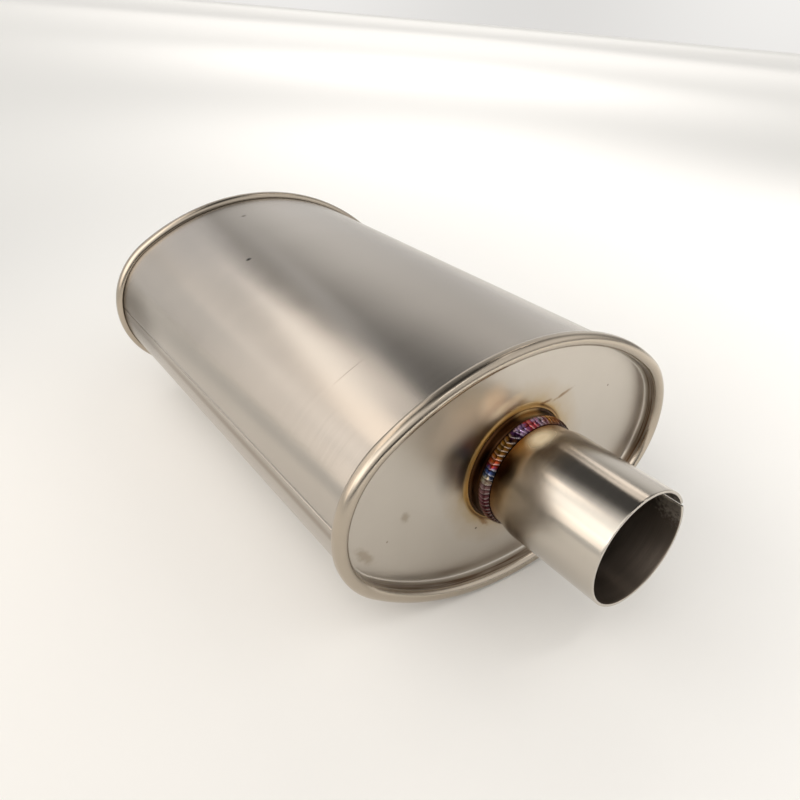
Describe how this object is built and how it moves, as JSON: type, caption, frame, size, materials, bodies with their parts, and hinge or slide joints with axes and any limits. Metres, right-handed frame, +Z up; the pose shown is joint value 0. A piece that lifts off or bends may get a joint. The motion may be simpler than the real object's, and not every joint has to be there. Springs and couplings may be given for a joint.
{
  "type": "muffler",
  "caption": "Oval straight-through exhaust muffler with rolled rims, recessed end caps, perforated core and slotted slip-on pipe sockets.",
  "frame": {"origin": "the centre of the body, on the axis of the pipes", "axes": "+X along the pipes, out of the front pipe; +Y along the oval's long axis; +Z up, along the oval's short axis"},
  "size_m": [0.463, 0.236, 0.1528],
  "materials": {
    "shell_steel": "fine brushed round the body",
    "lining_steel": "mill finish",
    "cap_steel": "matte pressed sheet with handling stains",
    "pipe_steel": "satin, heat tinted near the weld",
    "weld": "rippled, with heat colours",
    "core_steel": "mill finish",
    "wool": "fine wool",
    "glass_fibre": "fibrous mat"
  },
  "bodies": {
    "root": {"outer_shell": "shell_steel", "inner_shell": "lining_steel", "front_end_cap": "cap_steel", "rear_end_cap": "cap_steel", "front_pipe": "pipe_steel", "rear_pipe": "pipe_steel", "front_pipe_weld": "weld", "rear_pipe_weld": "weld", "core_tube": "core_steel", "front_core_weld": "core_steel", "rear_core_weld": "core_steel", "steel_wool": "wool", "packing_wrap": "glass_fibre", "packing_left": "glass_fibre", "packing_right": "glass_fibre"}
  },
  "joints": []
}
